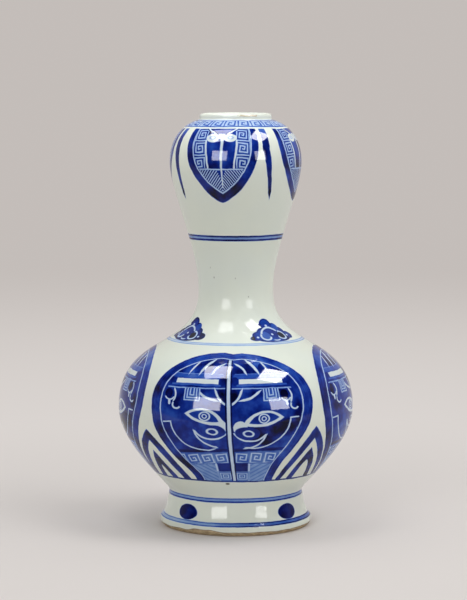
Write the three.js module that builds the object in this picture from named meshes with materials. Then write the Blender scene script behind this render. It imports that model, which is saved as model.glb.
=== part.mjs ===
// Garlic-mouth vase: a porcelain bottle with a swelling belly, a waisted neck and a bulb below its lip.
// It is thrown as five sections that are luted to each other, edge to edge, with porcelain slip.
// Millimetres, +Z up, origin on the table at the middle of the foot.
import * as THREE from 'three';

// Rises from one station of the outline to the next, from the table up
const footRise = 24; // table to the waist above the foot
const bellyRise = 56.5; // waist to the belly's widest ring
const shoulderRise = 79.5; // widest ring to the narrowest ring of the neck
const neckRise = 87; // narrowest ring to the widest ring of the bulb
const bulbRise = 27.5; // widest ring of the bulb to the root of the lip
const lipRise = 5.5; // root of the lip to its top

// Outer radii at those stations
const footRadius = 51.4;
const waistRadius = 45.5;
const bellyRadius = 80;
const neckRadius = 25.4;
const bulbRadius = 44.6;
const lipRadius = 24.5;

// How far the outline keeps its direction on each side of a station, which sets how full the curve is
const waistPullDown = 8;
const waistPullUp = 4;
const bellyPullDown = 25;
const bellyPullUp = 51;
const neckPullDown = 42.5;
const neckPullUp = 29;
const bulbPullDown = 20;
const bulbPullUp = 20;
const lipPullOut = 6.8; // the bulb's top meets the lip on a gentle slope
const lipPullDown = 1.2;

// Foot: a splayed ring with an upright band, bevelled below to its bare standing rim
const bevelHeight = 2.4;
const bevelInset = 2;
const bandHeight = 4.2;
const flarePullIn = 3.4; // the flare leaves the band almost level
const flarePullUp = 2.6;
const rimWidth = 5.6;
const rimChamfer = 1;
const footWall = 8; // at the waist
const baseHollow = 1.5; // the underside rises this much within the foot
const baseSlope = 5.5; // width over which it rises

// Wall thickness of the thrown sections
const wallAtWaist = 7;
const wallAtBelly = 5;
const wallAtNeck = 4.5;
const wallAtBulb = 4;
const wallAtLip = 4;
const floorThickness = 7;
const floorCorner = 11; // radius of the turn from the floor into the wall

// Luted seams between the sections
const neckRootRadius = 46.5; // the neck's section starts where the shoulder has narrowed to this
const mouthSeamRise = 36; // above the narrowest ring of the neck
const luteThickness = 0.5;
const luteProud = 0.6; // slip squeezed out of the seam stands inside the wall

// Fineness of the facets
const turnSteps = 48;
const curveSteps = 11;
const roundSteps = 6;
const leastStep = 0.3; // a point of the wall nearer than this to a seam gives way to the seam

// Heights of the stations and seams above the table
const waistHeight = footRise;
const bellyHeight = waistHeight + bellyRise;
const neckHeight = bellyHeight + shoulderRise;
const bulbHeight = neckHeight + neckRise;
const lipRoot = bulbHeight + bulbRise;
const lipTop = lipRoot + lipRise;
const bandTop = bevelHeight + bandHeight;
const mouthSeam = neckHeight + mouthSeamRise;

const point = (radius, height) => new THREE.Vector2(radius, height);

// The outline's curve between two stations, upright at both of them
function swell(lowRadius, lowHeight, pullUp, highRadius, highHeight, pullDown) {
  return new THREE.CubicBezierCurve(
    point(lowRadius, lowHeight),
    point(lowRadius, lowHeight + pullUp),
    point(highRadius, highHeight - pullDown),
    point(highRadius, highHeight),
  );
}

const footFlare = new THREE.CubicBezierCurve(
  point(footRadius, bandTop),
  point(footRadius - flarePullIn, bandTop + flarePullUp),
  point(waistRadius, waistHeight - waistPullDown),
  point(waistRadius, waistHeight),
);
const lowerBelly = swell(waistRadius, waistHeight, waistPullUp, bellyRadius, bellyHeight, bellyPullDown);
const shoulder = swell(bellyRadius, bellyHeight, bellyPullUp, neckRadius, neckHeight, neckPullDown);
const neckAndBulb = swell(neckRadius, neckHeight, neckPullUp, bulbRadius, bulbHeight, bulbPullDown);
const bulbTop = new THREE.CubicBezierCurve(
  point(bulbRadius, bulbHeight),
  point(bulbRadius, bulbHeight + bulbPullUp),
  point(lipRadius + lipPullOut, lipRoot - lipPullDown),
  point(lipRadius, lipRoot),
);

// Wall thickness along each curve, from its lower to its upper end
const wallCurves = [
  { curve: lowerBelly, low: wallAtWaist, high: wallAtBelly },
  { curve: shoulder, low: wallAtBelly, high: wallAtNeck },
  { curve: neckAndBulb, low: wallAtNeck, high: wallAtBulb },
  { curve: bulbTop, low: wallAtBulb, high: wallAtLip },
];

// Points up the wall: on the outer face, or with inset 1 on the inner face
function wallLine(inset) {
  return wallCurves.flatMap(({ curve, low, high }) =>
    Array.from({ length: curveSteps }, (_, step) => {
      const along = step / curveSteps;
      const tangent = curve.getTangent(along);
      const inward = point(-tangent.y, tangent.x);
      const thickness = THREE.MathUtils.lerp(low, high, along);
      return curve.getPoint(along).addScaledVector(inward, inset * thickness);
    }),
  );
}

const outerLine = [...wallLine(0), point(lipRadius, lipRoot)];
const innerLine = wallLine(1);

// The height at which the shoulder has narrowed to a radius
function shoulderHeight(radius) {
  const above = outerLine.findIndex((place) => place.y > bellyHeight && place.x <= radius);
  const low = outerLine[above - 1];
  const high = outerLine[above];
  return THREE.MathUtils.mapLinear(radius, low.x, high.x, low.y, high.y);
}

const shoulderSeam = shoulderHeight(neckRootRadius);

// The place where a rising line passes a height
function pointAt(line, height) {
  const above = Math.max(1, line.findIndex((place) => place.y >= height));
  const low = line[above - 1];
  const high = line[above];
  return point(THREE.MathUtils.mapLinear(height, low.y, high.y, low.x, high.x), height);
}

// The stretch of a rising line between two heights, with a point on each of them
function stretch(line, low, high) {
  const between = line.filter((place) => place.y > low + leastStep && place.y < high - leastStep);
  return [pointAt(line, low), ...between, pointAt(line, high)];
}

// A closed ring, or a vessel whose profile starts and ends on the axis
function turned(name, profile, material) {
  const closed = profile[0].x > 0 ? [...profile, profile[0]] : profile;
  const geometry = new THREE.LatheGeometry(closed, turnSteps);
  geometry.rotateX(Math.PI / 2);
  const mesh = new THREE.Mesh(geometry, material);
  mesh.name = name;
  return mesh;
}

// Glossy greenish-white glaze on the sections, matt cream slip in the seams
const glazedPorcelain = () => new THREE.MeshStandardMaterial({ color: 0xdde3dc, roughness: 0.12, metalness: 0 });
const firedSlip = () => new THREE.MeshStandardMaterial({ color: 0xe4dfd2, roughness: 0.6, metalness: 0 });

// Each seam's faces stand half the slip's thickness to either side of it
const seamBelow = (seam) => seam - luteThickness / 2;
const seamAbove = (seam) => seam + luteThickness / 2;
const innerFootRadius = waistRadius - footWall;

function footRing() {
  const rimOuter = footRadius - bevelInset;
  const rimInner = rimOuter - rimWidth;
  const seat = seamBelow(waistHeight);
  const flare = footFlare.getPoints(curveSteps).filter((place) => place.y < seat - leastStep);
  return turned('foot_ring', [
    point(rimInner, 0),
    point(rimOuter, 0),
    point(footRadius, bevelHeight),
    ...flare,
    point(waistRadius, seat),
    point(innerFootRadius, seat),
    point(rimInner - rimChamfer, rimChamfer),
  ], glazedPorcelain());
}

function lowerBody() {
  const seat = seamAbove(waistHeight);
  const floor = seat + baseHollow + floorThickness;
  const wall = stretch(innerLine, floor + floorCorner, seamBelow(bellyHeight));
  const foot = wall[0];
  const turn = new THREE.QuadraticBezierCurve(foot, point(foot.x - floorCorner, floor), point(0, floor));
  return turned('lower_body', [
    point(0, seat + baseHollow),
    point(innerFootRadius - baseSlope, seat + baseHollow),
    point(innerFootRadius, seat),
    ...stretch(outerLine, seat, seamBelow(bellyHeight)),
    ...wall.reverse(),
    ...turn.getPoints(roundSteps).slice(1),
  ], glazedPorcelain());
}

// A section that is open at both ends, between two seams
function wallSection(name, lowSeam, highSeam) {
  const low = seamAbove(lowSeam);
  const high = seamBelow(highSeam);
  return turned(name, [
    ...stretch(outerLine, low, high),
    ...stretch(innerLine, low, high).reverse(),
  ], glazedPorcelain());
}

function garlicMouth() {
  const low = seamAbove(mouthSeam);
  const lipRound = wallAtLip / 2;
  const mouthRadius = lipRadius - wallAtLip;
  const lip = new THREE.EllipseCurve(lipRadius - lipRound, lipTop - lipRound, lipRound, lipRound, 0, Math.PI);
  const roof = innerLine.filter((place) => place.y > low && place.x > mouthRadius);
  return turned('garlic_mouth', [
    ...stretch(outerLine, low, lipRoot),
    ...lip.getPoints(roundSteps),
    point(mouthRadius, lipRoot - wallAtLip / 2),
    ...roof.reverse(),
    pointAt(innerLine, low),
  ], glazedPorcelain());
}

// The film of slip in a seam, flush outside and a little proud inside
function lute(name, seam, innerRadius, outerRadius) {
  const bottom = seamBelow(seam);
  const top = seamAbove(seam);
  return turned(name, [
    point(innerRadius, bottom),
    point(outerRadius, bottom),
    point(outerRadius, top),
    point(innerRadius, top),
    point(innerRadius - luteProud, seam),
  ], firedSlip());
}

// A seam in the vessel's wall, as wide as the wall is there
function wallLute(name, seam) {
  return lute(name, seam, pointAt(innerLine, seam).x, pointAt(outerLine, seam).x);
}

const vase = new THREE.Group();
vase.name = 'garlic_mouth_vase';
vase.add(
  footRing(),
  lute('foot_lute', waistHeight, innerFootRadius, waistRadius),
  lowerBody(),
  wallLute('belly_lute', bellyHeight),
  wallSection('upper_body', bellyHeight, shoulderSeam),
  wallLute('shoulder_lute', shoulderSeam),
  wallSection('neck', shoulderSeam, mouthSeam),
  wallLute('mouth_lute', mouthSeam),
  garlicMouth(),
);

export default vase;
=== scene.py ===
import math
from functools import reduce

import bpy
import numpy as np
from mathutils import Matrix, Vector


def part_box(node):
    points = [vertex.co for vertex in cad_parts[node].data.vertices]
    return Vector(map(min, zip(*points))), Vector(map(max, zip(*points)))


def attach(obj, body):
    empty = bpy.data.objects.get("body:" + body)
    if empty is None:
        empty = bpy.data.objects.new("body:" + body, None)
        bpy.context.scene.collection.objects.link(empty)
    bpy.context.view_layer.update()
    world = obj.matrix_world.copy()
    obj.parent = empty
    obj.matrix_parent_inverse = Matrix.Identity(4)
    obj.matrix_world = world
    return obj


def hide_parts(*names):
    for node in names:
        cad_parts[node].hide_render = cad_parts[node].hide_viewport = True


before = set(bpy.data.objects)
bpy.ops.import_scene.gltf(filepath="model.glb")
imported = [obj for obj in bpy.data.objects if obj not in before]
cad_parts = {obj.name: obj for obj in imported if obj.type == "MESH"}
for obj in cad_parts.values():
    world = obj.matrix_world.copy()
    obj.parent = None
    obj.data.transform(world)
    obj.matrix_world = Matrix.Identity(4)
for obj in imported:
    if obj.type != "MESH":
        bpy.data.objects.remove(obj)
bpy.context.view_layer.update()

scene = bpy.context.scene
scene.view_settings.view_transform = "Standard"
mm = 0.001
degree = math.pi / 180
print("frame loaded with", len(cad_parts), "solids")


# Outline of the vase, in millimetres. The stations are read from the solids and their seams.
# A pull is how far the outline keeps its direction at a station, so it sets how full the curve is.
vaseOutline = {
    "neckRadius": 25.4,
    "neckHeight": 160,
    "bulbHeight": 247,
    "lipRadius": 24.5,
    "lipRise": 4.6,
    "waistPullDown": 9,
    "waistLean": 1.0,  # the flare still narrows where it meets the waist
    "waistPullUp": 4,
    "waistDip": 0.4,
    "bellyPullDown": 25,
    "bellyPullUp": 51,
    "neckPullDown": 42.5,
    "neckPullUp": 29,
    "bulbPullDown": 20,
    "bulbPullUp": 20,
    "lipPullOut": 6.8,
    "lipPullDown": 1.2,
    "lipUndercut": 0.3,
    "lipCrown": 2.6,  # height of the sloping top of the lip, and its width
    "lipSlope": 4.0,
    "lipSteps": 24,
    "mouthRound": 0.6,  # the mouth's wall starts this far below the top
    "bevelHeight": 2.4,
    "bevelInset": 2,
    "bandTop": 6.6,
    "flarePullIn": 2.8,
    "flarePullUp": 0.9,
    "rimWidth": 5.6,
    "rimChamfer": 1,
    "footWall": 8,
    "baseHollow": 1.5,
    "baseSlope": 5.5,
    "wallAtWaist": 7,
    "wallAtBelly": 5,
    "wallAtNeck": 4.5,
    "wallAtBulb": 4,
    "wallAtLip": 4,
    "floorThickness": 7,
    "floorCorner": 11,
    "floorSteps": 60,
    "softness": 0.55,  # corners are rounded by the glaze over about this length
    "pathStep": 0.2,
}


def seamStation(lute):
    low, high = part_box(lute)
    return high.x / mm, (low.z + high.z) / 2 / mm


waistRadius, waistHeight = seamStation("foot_lute")
bellyRadius, bellyHeight = seamStation("belly_lute")
shoulderSeam = seamStation("shoulder_lute")[1]
mouthSeam = seamStation("mouth_lute")[1]
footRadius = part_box("foot_ring")[1].x / mm
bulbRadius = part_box("garlic_mouth")[1].x / mm
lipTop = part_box("garlic_mouth")[1].z / mm
lipRoot = lipTop - vaseOutline["lipRise"]
neckRadius = vaseOutline["neckRadius"]
neckHeight = vaseOutline["neckHeight"]
bulbHeight = vaseOutline["bulbHeight"]
lipRadius = vaseOutline["lipRadius"]
innerFootRadius = waistRadius - vaseOutline["footWall"]


def bezier(start, startPull, endPull, end, count=120):
    along = np.linspace(0, 1, count + 1)[:, None]
    back = 1 - along
    corners = [np.array(corner, float) for corner in (start, startPull, endPull, end)]
    return (back ** 3 * corners[0] + 3 * back ** 2 * along * corners[1]
            + 3 * back * along ** 2 * corners[2] + along ** 3 * corners[3])


def swell(low, pullUp, high, pullDown, lean=0.0):  # upright at both ends, or leaning at the lower one
    return bezier(low, (low[0] - lean, low[1] + pullUp), (high[0], high[1] - pullDown), high)


def insetLine(line, thickLow, thickHigh):  # the inner face of a wall
    tangent = np.gradient(line, axis=0)
    tangent /= np.linalg.norm(tangent, axis=1)[:, None]
    thick = np.linspace(thickLow, thickHigh, len(line))[:, None]
    return line + np.stack([-tangent[:, 1], tangent[:, 0]], axis=1) * thick


def runAlong(line):
    return np.concatenate([[0], np.cumsum(np.linalg.norm(np.diff(line, axis=0), axis=1))])


def evenly(line, step):
    run = runAlong(line)
    places = np.linspace(0, run[-1], int(run[-1] / step) + 1)
    return np.stack([np.interp(places, run, line[:, axis]) for axis in (0, 1)], axis=1)


def softened(line, step, softness):
    reach = int(3 * softness / step)  # the bell curve is cut off at three deviations
    weights = np.exp(-0.5 * (np.arange(-reach, reach + 1) * step / softness) ** 2)
    weights /= weights.sum()
    ends = [2 * line[0] - line[reach:0:-1], line, 2 * line[-1] - line[-2:-reach - 2:-1]]
    padded = np.concatenate(ends)
    return np.stack([np.convolve(padded[:, axis], weights, "valid") for axis in (0, 1)], axis=1)


# One path runs from inside the foot round its rim, up the outside, over the lip and down to the floor
def vasePath(o):
    rimOuter = footRadius - o["bevelInset"]
    rimInner = rimOuter - o["rimWidth"]
    mouthRadius = lipRadius - o["wallAtLip"]
    waist = (waistRadius, waistHeight)
    widest = (bellyRadius, bellyHeight)
    narrowest = (neckRadius, neckHeight)
    bulbRing = (bulbRadius, bulbHeight)
    lipFoot = (lipRadius - o["lipUndercut"], lipRoot)
    foot = [(innerFootRadius, waistHeight), (rimInner - o["rimChamfer"], o["rimChamfer"]),
            (rimInner, 0), (rimOuter, 0), (footRadius, o["bevelHeight"])]
    flare = bezier((footRadius, o["bandTop"]),
                   (footRadius - o["flarePullIn"], o["bandTop"] + o["flarePullUp"]),
                   (waistRadius + o["waistLean"], waistHeight - o["waistPullDown"]), waist)
    belly = swell(waist, o["waistPullUp"], widest, o["bellyPullDown"], o["waistDip"])
    shoulder = swell(widest, o["bellyPullUp"], narrowest, o["neckPullDown"])
    neck = swell(narrowest, o["neckPullUp"], bulbRing, o["bulbPullDown"])
    bulb = bezier(bulbRing, (bulbRadius, bulbHeight + o["bulbPullUp"]),
                  (lipFoot[0] + o["lipPullOut"], lipRoot - o["lipPullDown"]), lipFoot)

    # The lip leans out to its widest ring, slopes in over its top and turns down into the mouth
    crown = lipTop - o["lipCrown"]
    quarter = np.linspace(0, math.pi / 2, o["lipSteps"])
    slope = np.stack([lipRadius - o["lipSlope"] * (1 - np.cos(quarter)),
                      crown + o["lipCrown"] * np.sin(quarter)], axis=1)
    mouth = [(mouthRadius, lipTop - o["mouthRound"]), (mouthRadius, lipRoot - o["wallAtLip"] / 2)]
    lip = np.concatenate([slope, mouth])

    inside = np.concatenate([
        insetLine(belly, o["wallAtWaist"], o["wallAtBelly"]),
        insetLine(shoulder, o["wallAtBelly"], o["wallAtNeck"]),
        insetLine(neck, o["wallAtNeck"], o["wallAtBulb"]),
        insetLine(bulb, o["wallAtBulb"], o["wallAtLip"]),
    ])
    floor = waistHeight + o["baseHollow"] + o["floorThickness"]
    aboveFloor = inside[:, 1] > floor + o["floorCorner"]
    belowMouth = (inside[:, 1] < bulbHeight) | (inside[:, 0] > mouthRadius)
    wall = inside[aboveFloor & belowMouth][::-1]
    last = wall[-1]
    along = np.linspace(0, 1, o["floorSteps"])[1:, None]
    corner = np.array((last[0] - o["floorCorner"], floor))
    middle = np.array((0.0, floor))
    turn = (1 - along) ** 2 * last + 2 * along * (1 - along) * corner + along ** 2 * middle
    whole = np.concatenate([foot, flare, belly[1:], shoulder[1:], neck[1:], bulb[1:], lip, wall, turn])
    line = softened(evenly(whole, o["pathStep"]), o["pathStep"], o["softness"])
    run = runAlong(line)
    rimEdge = np.argmin(np.linalg.norm(line - np.array((rimOuter, 0)), axis=1))
    return run - run[rimEdge], line


# Rise is the length along the path from the foot's outer edge, in millimetres
pathRise, pathLine = vasePath(vaseOutline)
topIndex = int(np.argmax(pathLine[:, 1]))
footIndex = int(np.searchsorted(pathRise, 0))


def riseAt(height, inside=False):
    if inside:
        return float(np.interp(-height, -pathLine[topIndex:, 1], pathRise[topIndex:]))
    return float(np.interp(height, pathLine[footIndex:topIndex, 1], pathRise[footIndex:topIndex]))


def placesAt(rises):
    return np.stack([np.interp(rises, pathRise, pathLine[:, axis]) for axis in (0, 1)], axis=1)


waistRise = riseAt(waistHeight)
bellyRise = riseAt(bellyHeight)
shoulderRise = riseAt(shoulderSeam)
mouthRise = riseAt(mouthSeam)
bulbRise = riseAt(bulbHeight)
lipRise = float(pathRise[topIndex])
lipRootRise = riseAt(lipRoot)
print("outline drawn,", round(float(pathRise[-1] - pathRise[0])), "mm along the wall")


# The wheel leaves the walls a little out of round
thrownWall = {
    "oval": 0.1,  # millimetres, as the other two
    "ovalPhase": 0.7,
    "ovalTwist": 90,  # a twist is the height over which the unevenness turns by one radian
    "threeLobed": 0.05,
    "lobedTwist": 43,
    "wander": 0.04,
    "wanderTwist": 9.5,
    "wanderSwing": 23,
    "calmRadius": 20,  # nearer the axis the unevenness dies out
    "poleRadius": 0.05,  # smaller rings close to a point
    "roundSteps": 264,
    "normalNudge": 0.3,  # millimetres and degrees between which a normal is measured
    "normalTurn": 0.5,
    "undersideRise": -100.0,  # below every painted or bare band
    "bakeGap": 2,  # millimetres between the strips of the unrolled wall
    "bakeCounts": (1, 2, 3, 4, 6),
}


def thrown(radius, height, angle):
    w = thrownWall
    oval = w["oval"] * np.sin(2 * angle + w["ovalPhase"] + height / w["ovalTwist"])
    lobed = w["threeLobed"] * np.sin(3 * angle - height / w["lobedTwist"])
    wander = w["wander"] * np.sin(5 * angle + height / w["wanderTwist"]) * np.sin(height / w["wanderSwing"])
    sway = oval + lobed + wander
    far = radius + sway * np.clip(radius / w["calmRadius"], 0, 1)
    return np.stack([far * np.sin(angle), -far * np.cos(angle), height + 0 * angle], axis=-1) * mm


def wallNormals(rise, angles):
    nudge = thrownWall["normalNudge"]
    turnNudge = thrownWall["normalTurn"] * degree

    def placed(away, turned):
        radius, height = placesAt([rise + away])[0]
        return thrown(radius, height, angles + turned)

    up = placed(nudge, 0) - placed(-nudge, 0)
    across = placed(0, turnNudge) - placed(0, -turnNudge)
    normal = np.cross(across, up)
    return normal / np.maximum(np.linalg.norm(normal, axis=-1, keepdims=True), 1e-12)


# A span is (from rise, to rise, step) and gives a smooth wall. Between two spans runs a flat seam face.
def turnedPiece(name, spans, finish, under=()):
    steps = thrownWall["roundSteps"]
    angles = np.linspace(-math.pi, math.pi, steps, endpoint=False)
    rows = [(radius, height, thrownWall["undersideRise"], None) for radius, height in under]
    for number, (start, end, step) in enumerate(spans):
        count = max(2, math.ceil(abs(end - start) / step))
        rises = np.linspace(start, end, count + 1)
        rows += [(max(0.0, place[0]), place[1], rise, number) for rise, place in zip(rises, placesAt(rises))]

    positions, riseValues, rings, normals = [], [], [], []
    for radius, height, rise, number in rows:
        ring = np.array([(0.0, 0.0, height * mm)])
        if radius > thrownWall["poleRadius"]:
            ring = thrown(radius, height, angles)
        rings.append(range(len(positions), len(positions) + len(ring)))
        positions.extend(ring.tolist())
        riseValues.extend([rise] * len(ring))
        smooth = number is not None and len(ring) > 1
        normals.append(wallNormals(rise, angles).tolist() if smooth else None)

    closed = len(rings[0]) > 1 and len(rings[-1]) > 1
    pairs = [(low, (low + 1) % len(rows)) for low in range(len(rows) if closed else len(rows) - 1)]
    strips = bakeStrips(rows, pairs, steps)
    faces, smoothFaces, loopNormals, loopPlaces = [], [], [], []
    for (low, high), unrolled in zip(pairs, strips):
        wall = rows[low][3] is not None and rows[low][3] == rows[high][3]
        for turn in range(steps):
            corners = [(low, turn), (low, turn + 1), (high, turn + 1), (high, turn)]
            if len(rings[low]) == 1:
                corners = [(low, turn), (high, turn + 1), (high, turn)]
            if len(rings[high]) == 1:
                corners = [(low, turn), (low, turn + 1), (high, turn)]
            faces.append([rings[row][column % len(rings[row])] for row, column in corners])
            smoothFaces.append(wall)
            for row, column in corners:
                known = wall and normals[row] is not None
                loopNormals.append(normals[row][column % steps] if known else (0.0, 0.0, 0.0))
                loopPlaces.extend(unrolled(turn, column, row == high))

    mesh = bpy.data.meshes.new(name)
    mesh.from_pydata(positions, [], faces)
    mesh.polygons.foreach_set("use_smooth", smoothFaces)
    mesh.attributes.new("rise", "FLOAT", "POINT").data.foreach_set("value", riseValues)
    mesh.uv_layers.new(name="OFBake").data.foreach_set("uv", loopPlaces)
    mesh.normals_split_custom_set(loopNormals)
    mesh.materials.append(finish)
    mesh.update()
    piece = bpy.data.objects.new(name, mesh)
    scene.collection.objects.link(piece)
    return piece


# The wall unrolled for baking: its outside in stacked strips, everything else smaller in one strip above
def bakeStrips(rows, pairs, steps):
    gap = thrownWall["bakeGap"]

    def outer(low, high):
        sameSpan = rows[low][3] == rows[high][3]
        return sameSpan and all(0 <= rows[row][2] <= lipRise for row in (low, high))

    outside = [outer(low, high) for low, high in pairs]
    lengths = [math.dist(rows[low][:2], rows[high][:2]) for low, high in pairs]
    outerLength = sum(length for length, isOuter in zip(lengths, outside) if isOuter)
    otherLength = sum(length for length, isOuter in zip(lengths, outside) if not isOuter)
    girth = 2 * math.pi * max(row[0] for row in rows)

    def sheetSize(count):
        return max(girth / count + 2 * gap, count * (outerLength + gap) + otherLength / count + 2 * gap)

    count = min(thrownWall["bakeCounts"], key=sheetSize)
    sheet = sheetSize(count)
    across = girth / steps
    perStrip = steps // count

    def unrolled(isOuter, start, length):
        shrink = 1 if isOuter else count

        def place(turn, column, upper):
            strip = turn // perStrip if isOuter else count
            first = strip * perStrip if isOuter else 0
            x = gap + (column - first) * across / shrink
            y = gap + strip * (outerLength + gap) + (start + length * upper) / shrink
            return x / sheet, y / sheet
        return place

    strips = []
    run = {True: 0.0, False: 0.0}  # how far the outside and the rest have come
    for length, isOuter in zip(lengths, outside):
        strips.append(unrolled(isOuter, run[isOuter], length))
        run[isOuter] += length
    return strips


class Wire:  # a socket's value, to reckon with
    def __init__(self, shade, socket):
        self.shade = shade
        self.socket = socket

    def __add__(self, other):
        return reckon("ADD", self, other)

    def __radd__(self, other):
        return reckon("ADD", other, self)

    def __sub__(self, other):
        return reckon("SUBTRACT", self, other)

    def __rsub__(self, other):
        return reckon("SUBTRACT", other, self)

    def __mul__(self, other):
        return reckon("MULTIPLY", self, other)

    def __rmul__(self, other):
        return reckon("MULTIPLY", other, self)

    def __truediv__(self, other):
        return reckon("DIVIDE", self, other)

    def __rtruediv__(self, other):
        return reckon("DIVIDE", other, self)

    def __pow__(self, other):
        return reckon("POWER", self, other)

    def __rpow__(self, other):
        return reckon("POWER", other, self)

    def __neg__(self):
        return reckon("MULTIPLY", self, -1)

    def __abs__(self):
        return reckon("ABSOLUTE", self)


class Shade:  # the nodes of one material, or of the world
    def __init__(self, owner):
        owner.use_nodes = True
        self.tree = owner.node_tree
        self.tree.nodes.clear()

    def node(self, kind, settings, sockets):
        made = self.tree.nodes.new(kind)
        for key, value in settings.items():
            if key == "stops":
                while len(made.color_ramp.elements) < len(value):
                    made.color_ramp.elements.new(0.5)
                for element, (place, colour) in zip(made.color_ramp.elements, value):
                    element.position = place
                    element.color = (*colour, 1)
            else:
                setattr(made, key, value)
        for key, value in sockets.items():
            if isinstance(value, Wire):
                self.tree.links.new(value.socket, made.inputs[key])
            else:
                made.inputs[key].default_value = value
        return made

    def wire(self, kind, settings, sockets, out=0):
        return Wire(self, self.node(kind, settings, sockets).outputs[out])

    def parts(self, kind, vector):  # the three numbers of a vector or colour
        split = self.node(kind, {}, {0: vector})
        return [Wire(self, split.outputs[number]) for number in range(3)]


def reckon(operation, *values, clamp=False):
    shade = next(value.shade for value in values if isinstance(value, Wire))
    settings = {"operation": operation, "use_clamp": clamp}
    return shade.wire("ShaderNodeMath", settings, dict(enumerate(values)))


def vectorMath(operation, *values, out=0):
    shade = next(value.shade for value in values if isinstance(value, Wire))
    names = (0, "Scale") if operation == "SCALE" else (0, 1, 2)
    return shade.wire("ShaderNodeVectorMath", {"operation": operation}, dict(zip(names, values)), out)


def least(*values):
    return reduce(lambda best, value: reckon("MINIMUM", best, value), values)


def most(*values):
    return reduce(lambda best, value: reckon("MAXIMUM", best, value), values)


def wrapped(value, half):  # from -half to half, over and over
    return reckon("WRAP", value, half, -half)


def ramped(value, start, end, low=0.0, high=1.0):  # a smooth step from low at start to high at end
    span = {"Value": value, "From Min": start, "From Max": end, "To Min": low, "To Max": high}
    return value.shade.wire("ShaderNodeMapRange", {"interpolation_type": "SMOOTHSTEP"}, span)


def painted(gap, soft=0.3):  # 1 where a gap, in millimetres, is below zero
    return ramped(gap, soft, -soft)


def over(under, upper, cover):  # values, by the Mix node's number sockets
    return cover.shade.wire("ShaderNodeMix", {"data_type": "FLOAT"}, {0: cover, 2: under, 3: upper})


def brushed(under, tone, gap):  # a tone laid on where a gap is below zero
    return over(under, tone, painted(gap))


def tinted(cover, under, upper):  # colours, by the Mix node's colour sockets
    under, upper = [colour if isinstance(colour, Wire) else (*colour, 1) for colour in (under, upper)]
    return cover.shade.wire("ShaderNodeMix", {"data_type": "RGBA"}, {0: cover, 6: under, 7: upper}, 2)


def noise(place, size, detail=2.0, out=0):  # size in millimetres
    return place.shade.wire("ShaderNodeTexNoise", {"noise_dimensions": "3D"},
                            {"Vector": place, "Scale": 1 / (size * mm), "Detail": detail}, out)


# Distances on the unrolled wall, in millimetres: below zero inside a shape
def slab(value, low, high):
    return abs(value - (low + high) / 2) - (high - low) / 2


def flat(u, v):
    return u.shade.wire("ShaderNodeCombineXYZ", {}, {0: u, 1: v})


def farFrom(spot, centre):
    return vectorMath("DISTANCE", spot, (*centre, 0), out=1)


def arcGap(spot, centre, radius, middle, sweep, width):
    away = vectorMath("SUBTRACT", spot, (*centre, 0))
    line = abs(vectorMath("LENGTH", away, out=1) - radius) - width / 2
    facing = (math.cos(middle * degree), math.sin(middle * degree), 0)
    cut = radius * math.cos(sweep * degree) - vectorMath("DOT_PRODUCT", away, facing, out=1)
    return most(line, cut)


def barGap(spot, start, end, width, endWidth=None):
    along = (end[0] - start[0], end[1] - start[1], 0)
    square = along[0] ** 2 + along[1] ** 2
    away = vectorMath("SUBTRACT", spot, (*start, 0))
    share = reckon("MULTIPLY", vectorMath("DOT_PRODUCT", away, along, out=1), 1 / square, clamp=True)
    half = width / 2
    if endWidth is not None:
        half = share * ((endWidth - width) / 2) + half
    return vectorMath("DISTANCE", away, vectorMath("SCALE", along, share), out=1) - half


def discGap(spot, centre, radii):
    scaled = vectorMath("DIVIDE", vectorMath("SUBTRACT", spot, (*centre, 0)), (*radii, 1))
    return (vectorMath("LENGTH", scaled, out=1) - 1) * min(radii)


def ringGap(spot, centre, radii, width):
    return abs(discGap(spot, centre, radii)) - width / 2


def lensGap(spot, upperDisc, lowerDisc):  # where two discs, each a centre and a radius, overlap
    return most(*[farFrom(spot, centre) - radius for centre, radius in (upperDisc, lowerDisc)])


def drawn(u, v, shapes):
    spot = flat(u, v)
    makers = {"arc": arcGap, "bar": barGap, "disc": discGap, "ring": ringGap, "lens": lensGap}
    gaps = []
    for kind, *shape in shapes:
        if kind == "block":
            gaps.append(most(slab(u, *shape[0]), slab(v, *shape[1])))
        else:
            gaps.append(makers[kind](spot, *shape))
    return least(*gaps)


def layered(density, u, v, layers):  # each layer is its density of cobalt and its shapes
    for tone, shapes in layers:
        density = brushed(density, tone, drawn(u, v, shapes))
    return density


def keyFret(x, y, fret):  # a square spiral round x = y = 0
    reach = most(abs(x), abs(y))
    around = reckon("ARCTAN2", y, x) * (fret["pitch"] / (2 * math.pi))
    return reckon("PINGPONG", reach - around, fret["pitch"] / 2) - fret["width"] / 2


def nestedLines(nest, shape):  # lines one inside another, a pitch apart
    return reckon("PINGPONG", nest, shape["pitch"]) - shape["gap"]


def repeated(turn, ring, offset=0):  # millimetres from the nearest of a ring of repeats
    return wrapped(turn - (ring["centre"] + offset) * degree, math.pi / ring["count"]) * ring["radius"]


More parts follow.
